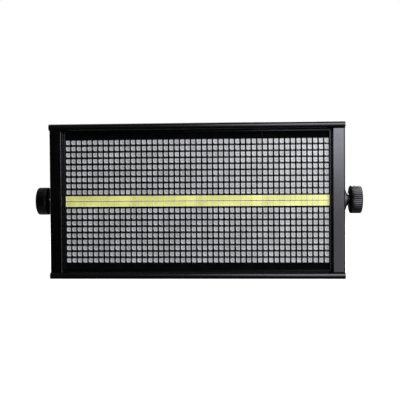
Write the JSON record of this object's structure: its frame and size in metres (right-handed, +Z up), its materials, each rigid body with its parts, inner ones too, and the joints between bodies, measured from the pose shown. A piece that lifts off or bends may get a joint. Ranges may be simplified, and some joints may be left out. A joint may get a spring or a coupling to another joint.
{
  "type": "stage strobe light",
  "caption": "Flat LED panel strobe light: black housing between two beaded extruded panels, rear fans and connectors, and a U-shaped yoke clamped by a ribbed hand knob on each side.",
  "frame": {"origin": "on the surface that the bottom panel rests on, under the middle of the whole fixture with its yoke folded straight back", "axes": "+Z up, -Y the way the light shines, +X along the long side to the right as seen from the lit front"},
  "size_m": [0.376, 0.165, 0.1732],
  "materials": {
    "anodised_panel": "black satin anodised extrusions, the heat sink among them",
    "housing_paint": "black satin powder coat on folded steel sheet",
    "led_board": "black solder mask carrying pale LED packages",
    "circuit_board": "green solder mask",
    "zinc_steel": "zinc plated",
    "black_plastic": "moulded black",
    "display_glass": "dark red acrylic",
    "key_plastic": "moulded grey",
    "guard_chrome": "chrome plated wire",
    "blue_plastic": "moulded blue",
    "grey_plastic": "moulded grey",
    "yoke_paint": "black satin powder coat on steel bar",
    "disc_rubber": "black rubber",
    "knob_plastic": "ribbed moulded black",
    "screw_steel": "black oxide"
  },
  "bodies": {
    "housing": {"top_panel": "anodised_panel", "bottom_panel": "anodised_panel", "side_panel_left": "housing_paint", "side_panel_right": "housing_paint", "rear_cover": "housing_paint", "led_board_1": "led_board", "led_board_2": "led_board", "led_board_3": "led_board", "led_board_4": "led_board", "heat_sink": "anodised_panel", "driver_board": "circuit_board", "power_supply": "zinc_steel", "control_board": "circuit_board", "display_module": "black_plastic", "display_window": "display_glass", "fan_frame_left": "black_plastic", "fan_frame_right": "black_plastic", "fan_guard_left": "guard_chrome", "fan_guard_right": "guard_chrome", "power_inlet": "blue_plastic", "power_outlet": "grey_plastic", "dmx_input": "zinc_steel", "dmx_output": "zinc_steel", "fuse_holder": "black_plastic", "safety_eye": "zinc_steel", "pivot_plate_left": "zinc_steel", "pivot_plate_right": "zinc_steel", "pivot_bolt_left": "zinc_steel", "pivot_bolt_right": "zinc_steel", "friction_disc_left": "disc_rubber", "friction_disc_right": "disc_rubber", "cover_screw_left_1": "screw_steel", "cover_screw_left_2": "screw_steel", "cover_screw_left_3": "screw_steel", "cover_screw_right_1": "screw_steel", "cover_screw_right_2": "screw_steel", "cover_screw_right_3": "screw_steel", "side_screw_left_1": "screw_steel", "side_screw_left_2": "screw_steel", "side_screw_left_3": "screw_steel", "side_screw_left_4": "screw_steel", "side_screw_right_1": "screw_steel", "side_screw_right_2": "screw_steel", "side_screw_right_3": "screw_steel", "side_screw_right_4": "screw_steel"},
    "yoke": {"yoke": "yoke_paint", "pivot_washer_left": "screw_steel", "pivot_washer_right": "screw_steel"},
    "knob_left": {"knob_left": "knob_plastic"},
    "knob_right": {"knob_right": "knob_plastic"},
    "fan_rotor_left": {"fan_rotor_left": "black_plastic"},
    "fan_rotor_right": {"fan_rotor_right": "black_plastic"},
    "key_menu": {"key_menu": "key_plastic"},
    "key_down": {"key_down": "key_plastic"},
    "key_up": {"key_up": "key_plastic"},
    "key_enter": {"key_enter": "key_plastic"},
    "dmx_latch": {"dmx_latch": "zinc_steel"},
    "fuse_cap": {"fuse_cap": "black_plastic"}
  },
  "joints": [
    {"name": "yoke_tilt", "type": "hinge", "parent": "housing", "child": "yoke", "pos_m": [0, -0.0385, 0.0866], "axis": [1, 0, 0], "continuous": true},
    {"name": "knob_left_turn", "type": "hinge", "parent": "housing", "child": "knob_left", "pos_m": [-0.18, -0.0385, 0.0866], "axis": [-1, 0, 0], "range_deg": [0, 360]},
    {"name": "knob_right_turn", "type": "hinge", "parent": "housing", "child": "knob_right", "pos_m": [0.18, -0.0385, 0.0866], "axis": [1, 0, 0], "range_deg": [0, 360]},
    {"name": "fan_left_spin", "type": "hinge", "parent": "housing", "child": "fan_rotor_left", "pos_m": [-0.108, -0.01, 0.1206], "axis": [0, 1, 0], "continuous": true},
    {"name": "fan_right_spin", "type": "hinge", "parent": "housing", "child": "fan_rotor_right", "pos_m": [0.108, -0.01, 0.1206], "axis": [0, 1, 0], "continuous": true},
    {"name": "key_menu_press", "type": "slide", "parent": "housing", "child": "key_menu", "axis": [0, -1, 0], "range_m": [0, 0.001], "stiffness_N_per_m": 1200},
    {"name": "key_down_press", "type": "slide", "parent": "housing", "child": "key_down", "axis": [0, -1, 0], "range_m": [0, 0.001], "stiffness_N_per_m": 1200},
    {"name": "key_up_press", "type": "slide", "parent": "housing", "child": "key_up", "axis": [0, -1, 0], "range_m": [0, 0.001], "stiffness_N_per_m": 1200},
    {"name": "key_enter_press", "type": "slide", "parent": "housing", "child": "key_enter", "axis": [0, -1, 0], "range_m": [0, 0.001], "stiffness_N_per_m": 1200},
    {"name": "dmx_latch_press", "type": "slide", "parent": "housing", "child": "dmx_latch", "axis": [0, -1, 0], "range_m": [0, 0.0012], "stiffness_N_per_m": 1500},
    {"name": "fuse_cap_turn", "type": "hinge", "parent": "housing", "child": "fuse_cap", "pos_m": [-0.07, 0.01, 0.0386], "axis": [0, 1, 0], "range_deg": [0, 90]}
  ]
}
